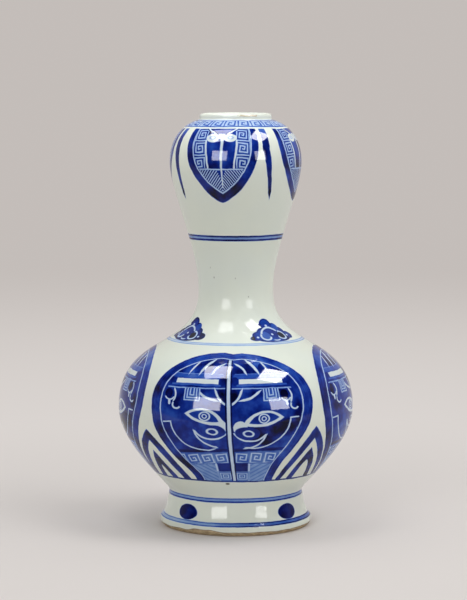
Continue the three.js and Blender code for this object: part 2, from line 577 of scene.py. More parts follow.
# Cobalt under a clear greenish glaze. Density runs from bare glaze to the thickest blue.
glaze = {
    "stops": [
        (0.0, (0.735, 0.77, 0.665)),
        (0.1, (0.47, 0.58, 0.74)),
        (0.2, (0.26, 0.40, 0.66)),
        (0.32, (0.105, 0.205, 0.50)),
        (0.5, (0.020, 0.075, 0.40)),
        (0.7, (0.004, 0.022, 0.24)),
        (0.88, (0.001, 0.004, 0.09)),
        (1.0, (0.0006, 0.001, 0.022)),
    ],
    "reflectionVeilTone": (0.42, 0.43, 0.34),  # painted reflection: greys the cobalt low on the neck, as the glaze's reflection of the room would
    "tinge": 0.02,  # the bare glaze is a little bluer in places
    "washGrain": 13,  # a grain is the size of a noise, in millimetres
    "washShare": 0.7,
    "grainShare": 0.35,
    "washBase": 0.475,
    "ior": 1.5,
    "roughness": 0.04,
    "roughSpread": 0.05,
    "roughGrain": 9,
    "peelGrain": 3.5,  # the fine ripple of the glaze
    "peelShare": 0.35,
    "bumpStrength": 0.25,
    "bumpDepth": 0.12,  # millimetres
    "clayLight": (0.53, 0.41, 0.25),
    "clayDark": (0.275, 0.195, 0.107),
    "clayBurnt": (0.15, 0.10, 0.055),  # where the bare clay meets the glaze
    "clayRoughness": 0.8,
    "clayGrain": 0.7,
    "streakSize": (0.05, 0.005),  # the clay's streaks are long round the rim and short up it
    "streakGrain": 4.5,
    "streakRange": (0.35, 0.65),
    "burntWidth": 0.3,
    "bareLow": -8.6,
    "bareHigh": 3.4,
    "bareSoft": 0.25,
    "bareGrain": 11,
    "bareWaver": 2.2,
    "bareLift": 1.3,  # the bare edge climbs on the left of the front
    "bareTurn": (-26, 6, 16),  # degrees: the middle, and where the climb starts and stops falling off
    "iron": (0.05, 0.035, 0.025),
    "speckRadius": 40,  # where a speck's turn is measured in millimetres
    "speckSoft": 0.4,
    "pinholeCell": 12,
    "pinholeChance": 0.8,  # the share of cells without one
    "pinholeSize": 1.2,
    "pinholeSoft": 0.12,
    "pinholeStrength": 0.75,
    "wornEdge": (0.36, 0.25, 0.11),
    "reflectionVeilSoft": 4,
    "quickHand": 0.9,  # how far the painter's line strays, and over how many millimetres
    "quickGrain": 5,
    "slowHand": 1.4,
    "slowGrain": 28,
}


def glazedFinish(name, decorate, shine, specks=(), wornLip=None, reflectionVeil=None):
    g = glaze
    finish = bpy.data.materials.new(name)
    shade = Shade(finish)
    place = shade.wire("ShaderNodeTexCoord", {}, {}, 3)  # object coordinates
    x, y, _ = shade.parts("ShaderNodeSeparateXYZ", place)
    turn = reckon("ARCTAN2", x, -y)
    rise = shade.wire("ShaderNodeAttribute", {"attribute_name": "rise"}, {}, 2)

    # The hand's small wander moves every painted line, and the wash pools and thins
    quick = noise(place, g["quickGrain"], detail=2, out=1)
    slow = noise(place, g["slowGrain"], detail=1, out=1)
    quickTurn, quickRise, grain = shade.parts("ShaderNodeSeparateColor", quick)
    slowTurn, slowRise, tinge = shade.parts("ShaderNodeSeparateColor", slow)
    sway = (quickTurn - 0.5) * g["quickHand"] + (slowTurn - 0.5) * g["slowHand"]
    lift = (quickRise - 0.5) * g["quickHand"] + (slowRise - 0.5) * g["slowHand"]
    wash = noise(place, g["washGrain"], 3)
    density = decorate(turn, rise, sway, lift, wash)
    pooling = wash * g["washShare"] + grain * g["grainShare"] + g["washBase"]
    density = density * pooling + tinge * g["tinge"]
    colour = shade.wire("ShaderNodeValToRGB", {"stops": g["stops"]}, {0: density})
    # Painted reflection: a grey veil over the cobalt low on the neck stands in for the glaze's reflection of
    # the room
    if reflectionVeil:
        cover = density * reflectionVeil["amount"] * painted(rise - reflectionVeil["below"], g["reflectionVeilSoft"])
        colour = tinted(cover, colour, g["reflectionVeilTone"])

    # Iron specks that burnt through the glaze: the large ones by place, pinholes anywhere
    spot = flat(turn * g["speckRadius"], rise)
    for angle, height, size, strength in specks:
        centre = (angle * degree * g["speckRadius"], riseAt(height))
        dot = painted(farFrom(spot, centre) - size, g["speckSoft"])
        colour = tinted(dot * strength, colour, g["iron"])
    cell = g["pinholeCell"]
    holes = shade.node("ShaderNodeTexVoronoi", {}, {"Vector": place, "Scale": 1 / (cell * mm)})
    chance = shade.parts("ShaderNodeSeparateColor", Wire(shade, holes.outputs[1]))[0]
    holeSize = (chance - g["pinholeChance"]) * g["pinholeSize"]
    hole = painted(Wire(shade, holes.outputs[0]) * cell - holeSize, g["pinholeSoft"])
    colour = tinted(hole * g["pinholeStrength"], colour, g["iron"])
    if wornLip:
        scuff = noise(place, wornLip["scuffGrain"], 3) - 0.5
        wornFrom, wornTo = [angle * degree * wornLip["radius"] for angle in wornLip["turn"]]
        wornRise = slab(rise + scuff * wornLip["scuffRise"], wornLip["low"], wornLip["high"])
        wornTurn = slab(turn * wornLip["radius"] + scuff * wornLip["scuffTurn"], wornFrom, wornTo)
        worn = painted(most(wornRise, wornTurn), wornLip["soft"])
        colour = tinted(worn * wornLip["strength"], colour, g["wornEdge"])

    # The standing rim is bare, and its edge is uneven
    middle, near, far = [angle * degree for angle in g["bareTurn"]]
    climb = ramped(abs(turn - middle), near, far, g["bareLift"], 0.0)
    edge = (noise(place, g["bareGrain"], 3) - 0.5) * g["bareWaver"] - climb
    bareGap = slab(rise + edge, g["bareLow"], g["bareHigh"])
    bare = painted(bareGap, g["bareSoft"])
    streakTurn, streakRise = g["streakSize"]
    streak = noise(flat(turn * streakTurn, rise * streakRise), g["streakGrain"], 4)
    clay = tinted(ramped(streak, *g["streakRange"]), g["clayLight"], g["clayDark"])
    clay = tinted(painted(-g["burntWidth"] - bareGap, g["bareSoft"]), clay, g["clayBurnt"])
    colour = tinted(bare, colour, clay)
    smoothest = g["roughness"] - g["roughSpread"] / 2
    gloss = noise(place, g["roughGrain"], 2) * g["roughSpread"] + smoothest
    roughness = over(gloss, g["clayRoughness"], bare)
    peel = noise(place, g["peelGrain"], 1) * g["peelShare"] + noise(place, g["clayGrain"], 2) * bare
    relief = {"Strength": g["bumpStrength"], "Distance": g["bumpDepth"] * mm, "Height": peel}
    bump = shade.wire("ShaderNodeBump", {}, relief)
    sockets = {"Base Color": colour, "Roughness": roughness, "Normal": bump}
    sockets.update({"IOR": g["ior"], "Specular IOR Level": shine})
    surface = shade.wire("ShaderNodeBsdfPrincipled", {}, sockets)
    shade.node("ShaderNodeOutputMaterial", {}, {"Surface": surface})
    return finish


# Beast-mask panels round the belly, in millimetres from the panel's middle at the widest ring.
# Shapes are for the right half and are mirrored: arcs are (centre, radius, middle angle, half sweep, width),
# bars (start, end, width), discs and rings (centre, radii, width), blocks (across, up), lenses two discs.
# A range of four is from, to, value at from and value at to. A tone is a density of cobalt.
maskPanel = {
    "count": 4,
    "centre": -2,
    "radius": 72,
    "halfWidth": 52.6,
    "midRise": 14,
    "topReach": 39.4,
    "fullness": 2.2,
    "topTilt": 0.0008,
    "notchAxis": 0.5,
    "notchHalf": 7,
    "notchDepth": 1.4,
    "lowHalf": 31.5,
    "lowReach": 60,
    "lowFullness": 0.7,
    "lowSlope": 0.9,
    "shift": (-15, 12, -1.7, -0.3),  # by height, how far the panel sits to one side
    "lowShift": (-27, -47, 0.0, 2.8),
    "border": (34, 46, 6.4, 7.0),
    "borderWash": 0.4,
    "borderTone": (18, 42, 0.54, 0.37),
    "topMiddle": 2,
    "topMore": (16, 4, 0.0, 0.13),  # the border is darker near the notch
    "leftMore": (-40, 40, 0.04, -0.05),  # and darker on the left
    "brushGrain": 0.9,
    "brushStretch": 0.06,
    "brushShare": 0.35,
    "rimWidth": 1.1,  # the wash gathers at the border's outer edge
    "rimWash": 0.3,
    "rimMore": 0.15,
    "lineWidth": 0.95,
    "lineTone": 0.11,
    "lineInset": 0.5,
    "fieldWash": 0.5,
    "upperField": 0.435,
    "lowerField": 0.455,
    "spineBend": 0.0007,
    "spineLean": 0.034,
    "spineAxis": -1.55,
    "spineSway": 0.65,  # the painter kept the spine steadier than other lines
    "spineHalf": 1.07,
    "spineTop": 45.8,
    "spineTone": 0.07,
    "flankMiddle": 1.55,
    "flankHalf": 0.45,
    "flankTone": 0.97,
    "eyeAxis": 1.4,
    "swirlAxis": -0.9,
    "poolSoft": 2,
    "pools": [  # the wash gathers or thins here: centre, radii, density more or less
        ((31, -4), (8, 6), 0.3), ((-6.5, 17.5), (3, 5), 0.28), ((2.2, 17.5), (2.5, 5), 0.28),
        ((12.5, 18.5), (4, 2.5), 0.2), ((18.5, 42.5), (4, 3), -0.22),
        ((20, -12), (7, 4), 0.3), ((12, -6), (10, 5), 0.18), ((-7, -6), (5, 4), 0.16),
        ((41.5, 5), (3.5, 8), 0.26), ((15, 36), (3, 3), 0.2), ((-26, -12), (12, 6), -0.1),
    ],
    "crown": [
        (0.5, [("block", (3, 39), (29.8, 33))]),
        (0.8, [("disc", (14.3, 38), (2.6, 5.2)), ("disc", (22.8, 37.5), (2.4, 4.8)),
               ("disc", (3.9, 27.8), (2.4, 3.0))]),
        (0.32, [("bar", (4, 33.3), (38, 33.0), 0.6)]),
        (0.45, [("block", (5, 38), (24.2, 25.4))]),
        (0.2, [("bar", (2.2, 22.7), (40, 22.3), 0.9)]),
        (0.03, [("block", (6.4, 35.3), (25.7, 29.3))]),
        (0.06, [
            ("arc", (0.5, 31.5), 10.8, 41, 33, 1.6),
            ("arc", (2, 30), 17.8, 35, 23.5, 2.2),
            ("arc", (6.5, 30), 21.1, 26, 15, 1.5),
            ("arc", (-6.5, 24), 14.7, -34, 26.5, 1.5),
            ("arc", (6.5, 31.2), 16.4, -63.5, 25.5, 1.6),
        ]),
    ],
    "squares": {"axis": -0.1, "middle": 24.55, "half": 4.7, "low": 14.3, "top": 22.3, "ground": 0.5,
                "pitch": 0.88, "gap": 0.42, "inset": 0.4, "tone": 0.13},
    "curlsMiddle": 36.5,
    "curlsHalf": 36.6,
    "curlsRise": 15,
    "curls": [
        (0.93, [("disc", (-3.9, 2.9), (2.6, 3.3))]),
        (0.06, [
            ("arc", (-5.2, 2), 6.2, 2, 43, 1.2),
            ("arc", (2.2, -4), 2.6, -120, 90, 1.2),
            ("arc", (-3, 2.2), 3.4, -90, 65, 1.0),
            ("bar", (-3, -1.8), (-2.8, -3.6), 1.7),
        ]),
    ],
    "jowlTilt": -0.045,
    "jowl": [
        (0.07, [("arc", (14.8, 3), 22, -46.5, 41.5, 1.05), ("arc", (15.2, -8), 11, -97, 24, 1.05),
                ("bar", (36.6, 1.2), (42.1, 1.0), 1.0)]),
        (0.3, [("bar", (41.1, -6.4), (40.3, -13.2), 0.8), ("bar", (41.3, -6.4), (42.7, -6.2), 0.7)]),
    ],
    "noseTilt": 0.06,
    "nose": [
        (0.07, [("arc", (12, -0.3), 11.7, -90, 58.5, 1.3), ("arc", (8.5, -4), 13.55, -50.5, 40.5, 1.2)]),
        (0.05, [("disc", (6.4, -3.2), (4.6, 5.0))]),
        (0.74, [("disc", (10.5, -6.3), (7.7, 4.4))]),
        (0.07, [("ring", (11.0, -6.6), (3.0, 1.9), 1.0)]),
    ],
    "eyeTilt": 0.035,
    "eye": [
        (0.05, [("lens", ((19.6, -6.54), 15.16), ((12.87, 23.2), 25.36))]),
        (0.66, [("lens", ((19.78, -4.53), 11.62), ((14.2, 20.3), 20.4))]),
        (0.06, [("ring", (17.75, 3.5), (3.0, 2.8), 0.95)]),
        (0.06, [("ring", (17.75, 3.5), (1.25, 1.25), 0.8)]),
    ],
    "jaw": {"drop": 0.075, "dropFrom": -4, "inner": 2.2, "outer": 36,  # the band sinks to the left
            "shade": (-21.0, -18.2), "shadeTone": 0.86, "band": (-31, -20.7), "bandTone": 0.44},
    "jawFret": {"start": 7, "cell": 4.8, "middle": -26.0, "pitch": 2.6, "width": 1.0, "inner": 2.6,
                "rows": (-30.4, -21.4), "tone": 0.12},
    "jawPad": {"top": -31.2, "tone": 0.245, "slope": 0.7, "pitch": 1.9, "gap": 0.7, "lineTop": -31.6,
               "lineInner": 12.5, "lineTone": 0.32},
    "jawSquares": {"centre": (6.3, -43.5), "squash": 1.3, "top": -39.4, "outer": 10.8, "ground": 0.42,
                   "pitch": 0.95, "gap": 0.42, "rows": (-47, -39.6), "half": 4.5, "tone": 0.13},
    "tablets": [
        (0.76, [("block", (1.6, 10.6), (-38.8, -30.9))]),
        (0.08, [("block", (11.0, 12.1), (-38.6, -31.2))]),
    ],
}


def panelSpine(v):  # the white line down the middle leans a little
    p = maskPanel
    return v * (v * p["spineBend"] - p["spineLean"]) + p["spineAxis"]


def panelEdge(u, v):
    p = maskPanel
    across = u - ramped(v, *p["shift"]) - ramped(v, *p["lowShift"])
    side = abs(across)
    power = p["fullness"]
    notch = most(1 - abs(u - p["notchAxis"]) / p["notchHalf"], 0) * p["notchDepth"]
    reach = most(v - p["midRise"], 0) * (across * p["topTilt"] + 1) + notch
    scale = (p["halfWidth"] + p["topReach"]) / 2
    oval = (side / p["halfWidth"]) ** power + (reach / p["topReach"]) ** power
    upper = oval ** (1 / power) * scale - scale
    fall = least(p["midRise"] - v, p["lowReach"])
    share = most(reckon("COSINE", fall * (math.pi / p["lowReach"])) * 0.5 + 0.5, 0) ** p["lowFullness"]
    lower = (side - share * (p["halfWidth"] - p["lowHalf"]) - p["lowHalf"]) * p["lowSlope"]
    return over(lower, upper, reckon("GREATER_THAN", v, p["midRise"]))


def crownPaint(field, u, v, side):
    p = maskPanel
    s = p["squares"]
    field = layered(field, side, v, p["crown"])
    nest = most(abs(abs(u - s["axis"]) - s["middle"]) - s["half"], s["low"] - v)
    below = v - s["top"]
    field = brushed(field, s["ground"], most(nest, below))
    field = brushed(field, s["tone"], most(nestedLines(nest, s), nest - s["inset"], below))
    curlU = wrapped(u + p["curlsMiddle"], p["curlsHalf"])
    return layered(field, curlU, v - p["curlsRise"], p["curls"])


def jawPaint(field, u, v, side):
    jaw, fret, pad, squares = [maskPanel[name] for name in ("jaw", "jawFret", "jawPad", "jawSquares")]
    bandV = v + most(jaw["dropFrom"] - u, 0) * jaw["drop"]
    inner = jaw["inner"] - side
    shadow = most(slab(bandV, *jaw["shade"]), inner, side - jaw["outer"])
    field = brushed(field, jaw["shadeTone"], shadow)
    field = brushed(field, jaw["bandTone"], most(slab(bandV, *jaw["band"]), inner))

    spiral = keyFret(wrapped(side - fret["start"], fret["cell"]), bandV - fret["middle"], fret)
    spiral = most(spiral, slab(bandV, *fret["rows"]), fret["inner"] - side)
    field = brushed(field, fret["tone"], spiral)

    field = brushed(field, pad["tone"], bandV - pad["top"])
    slant = nestedLines(side * pad["slope"] - v, pad)
    slant = most(slant, v - pad["lineTop"], pad["lineInner"] - side)
    field = brushed(field, pad["lineTone"], slant)

    across, up = squares["centre"]
    nest = most(abs(side - across), abs(v - up) * squares["squash"])
    field = brushed(field, squares["ground"], most(v - squares["top"], side - squares["outer"]))
    lines = most(nestedLines(nest, squares), slab(v, *squares["rows"]), nest - squares["half"])
    field = brushed(field, squares["tone"], lines)
    return layered(field, side, v, maskPanel["tablets"])


def panelPaint(u, v, sway, wash, upper):
    p = maskPanel
    edge = panelEdge(u, v)
    side = abs(u - sway * p["spineSway"] - panelSpine(v))
    field = wash * p["fieldWash"] + p["upperField" if upper else "lowerField"]
    for centre, radii, more in p["pools"]:
        field = field + ramped(discGap(flat(u, v), centre, radii), p["poolSoft"], -p["poolSoft"], 0.0, more)
    field = crownPaint(field, u, v, side) if upper else jawPaint(field, u, v, side)
    swirl = u - p["swirlAxis"]
    field = layered(field, abs(swirl), v + swirl * p["jowlTilt"], p["jowl"])
    field = layered(field, abs(swirl), v + swirl * p["noseTilt"], p["nose"])
    eye = u - p["eyeAxis"]
    field = layered(field, abs(eye), v + eye * p["eyeTilt"], p["eye"])
    field = brushed(field, p["flankTone"], abs(side - p["flankMiddle"]) - p["flankHalf"])
    field = brushed(field, p["spineTone"], most(side - p["spineHalf"], v - p["spineTop"]))

    # Brush strokes run along the border
    brush = noise(flat(edge * mm, v * p["brushStretch"] * mm), p["brushGrain"], 2)
    deep = ramped(v, *p["borderTone"]) + (brush - 0.5) * p["brushShare"]
    deep = deep + ramped(abs(u - p["topMiddle"]), *p["topMore"]) + ramped(u, *p["leftMore"])
    rim = wash * p["rimWash"] + deep + p["rimMore"]
    border = brushed(wash * p["borderWash"] + deep, rim, -p["rimWidth"] - edge)
    within = edge + ramped(v, *p["border"])
    border = brushed(border, p["lineTone"], abs(within) - p["lineWidth"] / 2)
    return brushed(border, field, within + p["lineInset"]) * painted(edge)


# Pointed leaves stand between the panels, one chevron in another, and no two are quite alike.
# Each edge is its tip, its slope and how it steepens. Two leaves are given and the rest lie between them.
chevron = {
    "count": 4,
    "centre": 41.5,
    "radius": 72,
    "right": {"lean": 0.105, "density": 0.55,
              "edges": [(-4.9, 1.16, 0.031), (-13.6, 1.45, 0.0215), (-20.9, 1.32, 0.06),
                        (-31.3, 0.7, 0.25)]},
    "left": {"lean": -0.02, "density": 0.62,
             "edges": [(-7.9, 0.8, 0.039), (-15.5, 1.35, 0.036), (-24.3, 1.65, 0.065),
                       (-36.8, 0.9, 0.7)]},
    "blend": (-0.75, 0.66),  # from the left leaf to the right one
    "leanFrom": -5,
    "gapScale": 0.45,  # gaps are measured upward, across a steep edge
    "wash": 0.4,
    "baseLine": -49,
    "baseInset": 0.6,
    "baseHalf": 0.65,
    "baseTone": 0.85,
}


def chevronPaint(turn, v, sway, wash):
    c = chevron
    toRight = ramped(reckon("SINE", turn), *c["blend"])
    lean = (c["leanFrom"] - v) * over(c["left"]["lean"], c["right"]["lean"], toRight)
    side = abs(repeated(turn, c) + sway - lean)
    gaps = []
    for left, right in zip(c["left"]["edges"], c["right"]["edges"]):
        tip, slope, steeper = [over(low, high, toRight) for low, high in zip(left, right)]
        gaps.append((v - tip + side * (side * steeper + slope)) * c["gapScale"])
    leaves = least(most(gaps[0], -gaps[1]), most(gaps[2], -gaps[3]))
    tone = over(c["left"]["density"], c["right"]["density"], toRight)
    return painted(leaves) * (wash * c["wash"] + tone)


def ringPaint(v, rings):  # each ring is its middle, its width and its density
    return most(*[painted(abs(v - middle) - width / 2) * density for middle, width, density in rings])


# Rings that cross a seam, in millimetres from it. They stray less than the other lines.
seamRings = {
    "lift": 0.4,
    "waist": (waistRise, [(-1.75, 1.0, 0.72), (0.35, 0.8, 0.64), (-0.65, 2.4, 0.27)]),
    "shoulder": (shoulderRise, [(1.6, 0.8, 0.2), (-0.1, 0.8, 0.22), (0.75, 2.2, 0.09)]),
    "mouth": (mouthRise, [(2.2, 1.2, 0.85), (-0.3, 1.3, 0.85), (0.95, 2.4, 0.27)]),
}


def seamPaint(seam, rise, lift):
    seamRise, rings = seamRings[seam]
    return ringPaint(rise - seamRise + lift * seamRings["lift"], rings)


def upperBellyDecor(turn, rise, sway, lift, wash):
    u = repeated(turn, maskPanel) + sway
    panel = panelPaint(u, rise - bellyRise + lift, sway, wash, True)
    return most(panel, seamPaint("shoulder", rise, lift))


def lowerBellyDecor(turn, rise, sway, lift, wash):
    c = chevron
    u = repeated(turn, maskPanel) + sway
    v = rise - bellyRise + lift
    density = most(panelPaint(u, v, sway, wash, False), chevronPaint(turn, v, sway, wash))
    density = density * painted(c["baseLine"] + c["baseInset"] - v)
    density = most(density, painted(abs(v - c["baseLine"]) - c["baseHalf"]) * c["baseTone"])
    return most(density, seamPaint("waist", rise, lift))


# Cloud heads on the root of the neck
cloudHead = {
    "count": 4,
    "centre": 40,
    "radius": 42,
    "unevenTurn": 6.8,  # degrees by which the heads are spaced unevenly
    "foot": 128,
    "footCut": 0.9,
    "wash": 0.5,
    "tone": 0.42,
    "edgeWidth": 0.8,
    "edgeTone": 0.85,
    "leftMore": (-0.8, 0.6, 1.18, 1.0),  # by the sine of the turn, denser on the left
    "reflectionVeil": 0.095,  # how much the painted reflection greys the cobalt, and how far up
    "reflectionVeilTop": 15,
    "lobes": [
        ("disc", (-1.6, 17.3), (6.1, 4.2)), ("disc", (-7.2, 17.2), (1.5, 0.9)),
        ("disc", (5.5, 13.5), (5.2, 4.3)), ("disc", (10, 10.5), (4.6, 3.6)),
        ("disc", (14.2, 6.6), (5.0, 3.6)), ("disc", (-5, 10), (8, 4.9)), ("disc", (-11.5, 8), (5, 3.8)),
        ("disc", (-14, 5.6), (4.5, 2.7)), ("disc", (0, 5.2), (14.5, 4.5)),
    ],
    "washes": [
        (0.5, [("disc", (7, 14), (3.5, 3.2))]),
        (0.68, [("disc", (-1, 9.4), (6.2, 4.6))]),
        (0.47, [("disc", (-6.4, 7.6), (3.6, 3.6))]),
        (0.95, [("disc", (7.3, 7.2), (3.1, 3.1)), ("disc", (-16.6, 5.8), (1.4, 2.0))]),
        (0.07, [
            ("arc", (-1.5, 6.2), 8.5, 95, 62, 1.5),
            ("arc", (7.4, 7.0), 3.6, -32, 138, 1.4),
            ("arc", (-6.5, 7.3), 3.7, 247, 98, 1.4),
            ("arc", (0.5, 6.5), 3.9, -90, 38, 1.1),
            ("disc", (-1.6, 16.2), (1.3, 0.9)), ("disc", (-0.5, 8.6), (0.95, 0.95)),
            ("disc", (-13, 6.4), (1.0, 0.9)), ("disc", (13.6, 6.3), (1.0, 0.9)),
        ]),
    ],
}


def neckDecor(turn, rise, sway, lift, wash):
    c = cloudHead
    swing = c["unevenTurn"] * degree
    fromHead = turn - c["centre"] * degree
    u = repeated(turn - reckon("SINE", fromHead) * swing, c)
    u = u * (reckon("COSINE", fromHead) * swing + 1) + sway
    v = rise - riseAt(c["foot"]) + lift
    outline = most(drawn(u, v, c["lobes"]), c["footCut"] - v)
    head = brushed(wash * c["wash"] + c["tone"], c["edgeTone"], -c["edgeWidth"] - outline)
    head = layered(head, u, v, c["washes"]) * painted(outline)
    head = head * ramped(reckon("SINE", turn), *c["leftMore"])
    return most(head, seamPaint("mouth", rise, lift), seamPaint("shoulder", rise, lift))


# Hanging leaves on the bulb, with a single stroke between each two and a fret band above
hangingLeaf = {
    "count": 4,
    "centre": -13,
    "radius": 42,
    "unevenTurn": 2.6,
    "halfWidth": 25,
    "widest": 15,
    "fullness": 0.75,
    "tip": -26.7,
    "tipSlope": 0.7,
    "top": 25,
    "lean": (3, -20, -0.1, 0.6),
    "fieldWash": 0.5,
    "fieldTone": (4, -3, 0.45, 0.62),
    "border": 4.9,
    "borderWash": 0.4,
    "borderTone": (-8, -24, 0.53, 0.72),
    "lineWidth": 0.95,
    "lineTone": 0.1,
    "lineInset": 0.5,
    "column": {"inner": 9.9, "middle": 14.3, "start": 10, "cell": 4.9, "low": -3.2, "pitch": 2.0,
               "width": 0.95, "tones": (0.14, 0.68)},  # tones of the ground and the lines
    "vein": {"top": -4.4, "slope": 1.35, "pitch": 1.2, "gap": 0.62, "tones": (0.13, 0.84)},
    "veinHeart": (11, 0.4, 0.72),  # the dark wedge above the tip: how far down, its slope and its tone
    "stem": ((0.6, 18), (0.1, -16.5), 2.4, 0.6),
    "stemTone": 0.05,
    "layers": [
        (0.62, [("block", (0, 8), (20.6, 25))]),
        (0.9, [("bar", (11.4, 25.2), (4.2, 20.2), 2.3)]),
        (0.05, [
            ("bar", (10.5, 15), (8.3, -3), 1.3),
            ("bar", (11.4, 25.2), (4.2, 20.2), 1.2),
        ]),
        (0.12, [("bar", (0.8, -3.9), (14, -3.9), 1.0)]),
        (0.03, [("disc", (6.0, 17.3), (4.7, 3.2)), ("block", (0, 2.6), (16.4, 20.6))]),
        (0.22, [("ring", (6.3, 17.4), (1.8, 1.0), 0.5)]),
    ],
}
loneStroke = {
    "offset": 42,  # degrees from a leaf's middle
    "low": -24.5,
    "taper": 0.24,
    "half": (-26, 18, 1.1, 2.6),
    "bend": (6.6, -3, 0.125),  # it leans from this height down, little above it, by this slope
    "tone": (16, 24, 0.78, 0.45),
    "more": (-6, -22, 0.0, 0.2),
}
fretBand = {
    "count": 22,
    "centre": -6,
    "radius": 36,
    "low": 26.6,
    "high": 35.2,
    "middle": 31.2,
    "pitch": 3.1,
    "width": 1.2,
    "tones": (0.13, 0.44),
    "lineTone": 0.48,
    "lineHalf": 0.5,
    "rimTone": 0.09,
    "rimInset": 0.6,
}
lipWear = {  # the glaze is worn through to the body on the right of the lip
    "low": riseAt(277.5),
    "high": riseAt(278.5),
    "turn": (5, 35),
    "radius": 25,
    "scuffGrain": 3,
    "scuffRise": 1.6,
    "scuffTurn": 6,
    "soft": 0.5,
    "strength": 0.75,
}


def leafPaint(u, v, wash):
    h = hangingLeaf
    side = abs(u)
    drop = most((h["widest"] - v) / (h["widest"] - h["tip"]), 0)
    half = most(1 - drop * drop, 0) ** h["fullness"] * h["halfWidth"]
    edge = most((side - half) * (1 - drop * drop * h["tipSlope"]), h["tip"] - v)
    field = wash * h["fieldWash"] + ramped(v, *h["fieldTone"])

    column, vein = h["column"], h["vein"]
    spiral = keyFret(side - column["middle"], wrapped(v - column["start"], column["cell"]), column)
    fret = brushed(*column["tones"], spiral)
    field = brushed(field, fret, most(column["inner"] - side, column["low"] - v))

    veins = brushed(*vein["tones"], nestedLines(v + side * vein["slope"], vein))
    heartDrop, heartSlope, heartTone = h["veinHeart"]
    veins = brushed(veins, heartTone, side - (v + heartDrop) * heartSlope)
    field = brushed(field, veins, v - vein["top"])
    field = layered(field, side, v, h["layers"])
    field = brushed(field, h["stemTone"], barGap(flat(u, v), *h["stem"]))

    border = wash * h["borderWash"] + ramped(v, *h["borderTone"])
    border = brushed(border, h["lineTone"], abs(edge + h["border"]) - h["lineWidth"] / 2)
    whole = brushed(border, field, edge + h["border"] + h["lineInset"])
    return whole * painted(most(edge, v - h["top"]))


def strokePaint(turn, v, sway):
    s = loneStroke
    half = least(ramped(v, *s["half"]), (v - s["low"]) * s["taper"])
    bendTop, bendLeast, bendSlope = s["bend"]
    bend = most(bendTop - v, bendLeast) * bendSlope
    across = repeated(turn, hangingLeaf, s["offset"]) + sway - bend
    tone = ramped(v, *s["tone"]) + ramped(v, *s["more"])
    return painted(most(abs(across) - half, v - hangingLeaf["top"])) * tone


def fretPaint(turn, v):
    b = fretBand
    band = brushed(*b["tones"], keyFret(repeated(turn, b), v - b["middle"], b))
    lines = least(abs(v - b["low"] - b["lineHalf"]), abs(v - b["high"])) - b["lineHalf"]
    band = brushed(band, b["lineTone"], lines)
    band = brushed(band, b["rimTone"], b["high"] + b["rimInset"] - v)
    return band * painted(b["low"] - v)


def bulbDecor(turn, rise, sway, lift, wash):
    h = hangingLeaf
    leafTurn = turn + (1 - reckon("COSINE", turn - h["centre"] * degree)) * (h["unevenTurn"] * degree)
    v = rise - bulbRise + lift
    leaf = leafPaint(repeated(leafTurn, h) + sway - ramped(v, *h["lean"]), v, wash)
    density = most(leaf, strokePaint(leafTurn, v, sway), fretPaint(turn, v))
    return most(density * painted(rise - lipRootRise), seamPaint("mouth", rise, lift))


# Large dots on the foot, between two pairs of rings
footDots = {
    "count": 4,
    "centre": 47,
    "radius": 50,
    "rise": 15.6,
    "size": (8.6, 5.2),
    "density": 0.86,
    "lift": 0.5,
    "ringsRight": (-0.9, 0.7, 0.52, 1.3),  # the rings are paler on the left
}
bandRings = [(7.5, 0.9, 0.76), (9.8, 0.8, 0.72), (8.6, 2.4, 0.34)]


def footDecor(turn, rise, sway, lift, wash):
    d = footDots
    u = repeated(turn, d) + sway
    v = rise + lift * d["lift"]
    dots = painted(discGap(flat(u, v), (0, d["rise"]), d["size"])) * d["density"]
    rings = ringPaint(v, bandRings) * ramped(reckon("SINE", turn), *d["ringsRight"])
    return most(dots, rings, seamPaint("waist", rise, lift))


# Five turned pieces, each with its own glaze. Specks are (turn, height, size, strength).
turning = {
    "footStep": 0.7,  # millimetres between rings
    "wallStep": 1.2,
    "bulbStep": 0.9,
    "insideStep": 2.0,
    "bellySpecks": [(-5.5, 36.4, 1.0, 0.93)],
    "neckSpecks": [(-33.5, 170.2, 0.6, 0.55), (-0.5, 169.9, 0.5, 0.4), (-38.5, 176.8, 0.5, 0.38),
                   (19.5, 157.4, 0.5, 0.57)],
    "footShine": 0.22,
    "lowerShine": 0.2,
    "upperShine": 0.36,
    "neckShine": 0.14,
    "bulbShine": 0.285,
}
wallStep = turning["wallStep"]
insideStep = turning["insideStep"]
insideBelly = riseAt(bellyHeight, True)
insideShoulder = riseAt(shoulderSeam, True)
insideMouth = riseAt(mouthSeam, True)
footEnd = float(pathRise[0])
floorEnd = float(pathRise[-1])
base = waistHeight + vaseOutline["baseHollow"]
under = [(0, base), (innerFootRadius - vaseOutline["baseSlope"], base), (innerFootRadius, waistHeight)]
